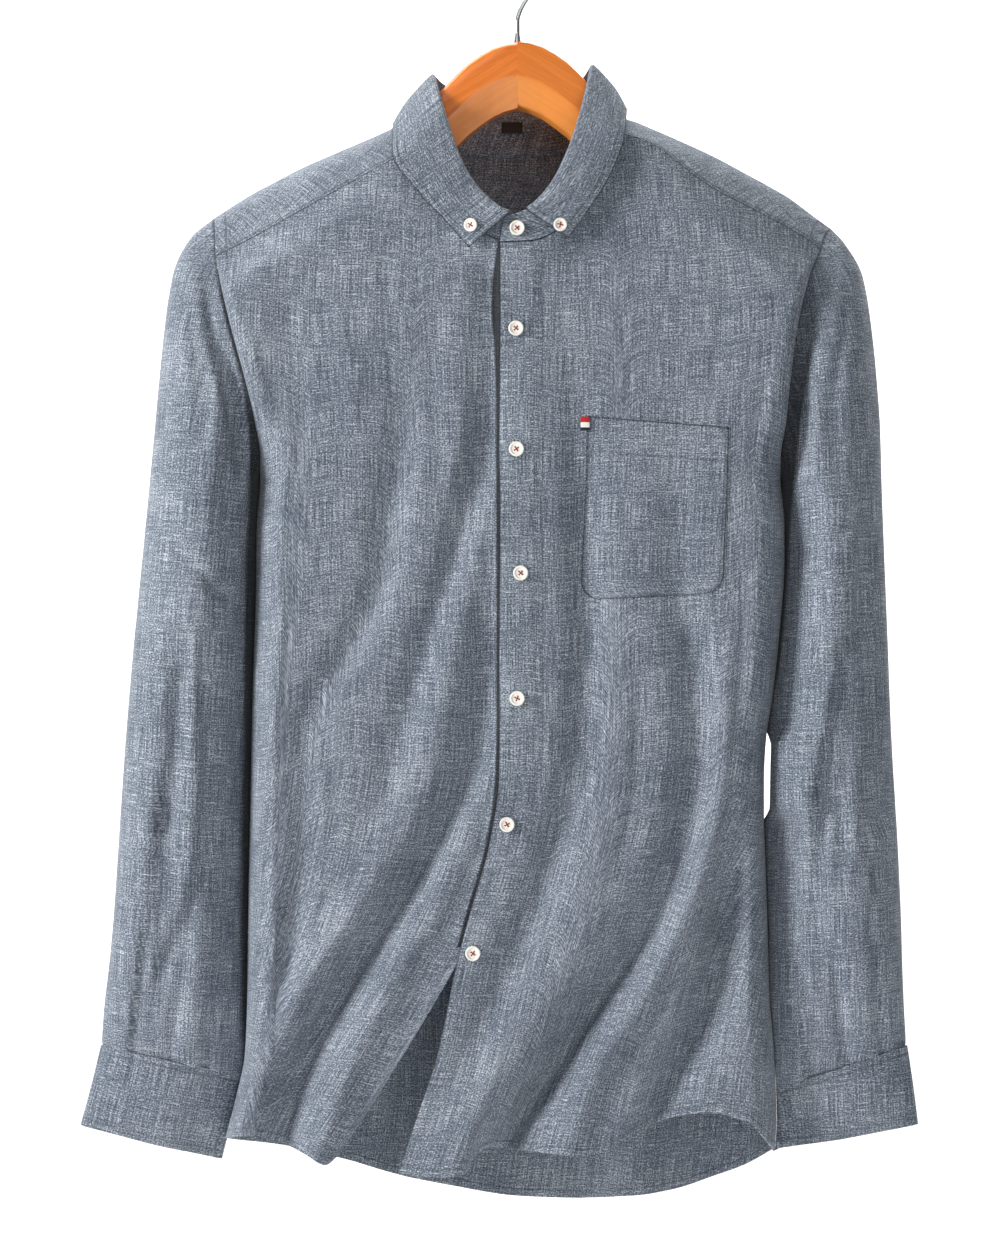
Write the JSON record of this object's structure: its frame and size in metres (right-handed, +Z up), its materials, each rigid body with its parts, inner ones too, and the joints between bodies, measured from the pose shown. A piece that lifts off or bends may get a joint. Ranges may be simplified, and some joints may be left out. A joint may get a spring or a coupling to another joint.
{
  "type": "long-sleeve linen shirt on a wooden hanger",
  "caption": "Long-sleeve button-down linen shirt with a chest pocket, hanging buttoned on a contoured wooden hanger with a steel hook.",
  "frame": {"origin": "the inside of the hook's top, where the rod it hangs on touches it", "axes": "+Z up; +X towards the wearer's left, the picture's right; -Y out of the shirt's front"},
  "size_m": [0.6274, 0.1273, 0.9514],
  "materials": {
    "linen": "blue-grey slub linen, plain weave",
    "button": "pearly white",
    "tape": "woven tape in three stripes",
    "label": "plain black woven tab",
    "wood": "clear varnish",
    "steel": "bright wire"
  },
  "bodies": {
    "root": {"right_front": "linen", "left_front": "linen", "placket": "linen", "back": "linen", "yoke": "linen", "right_sleeve": "linen", "left_sleeve": "linen", "right_cuff": "linen", "left_cuff": "linen", "collar_stand": "linen", "collar_leaf": "linen", "pocket": "linen", "pocket_tab": "tape", "neck_label": "label", "button_1": "button", "button_2": "button", "button_3": "button", "button_4": "button", "button_5": "button", "button_6": "button", "button_stand": "button", "button_point_right": "button", "button_point_left": "button", "button_cuff_right": "button", "button_cuff_left": "button", "hanger_right": "wood", "hanger_left": "wood", "hook": "steel"}
  },
  "joints": []
}
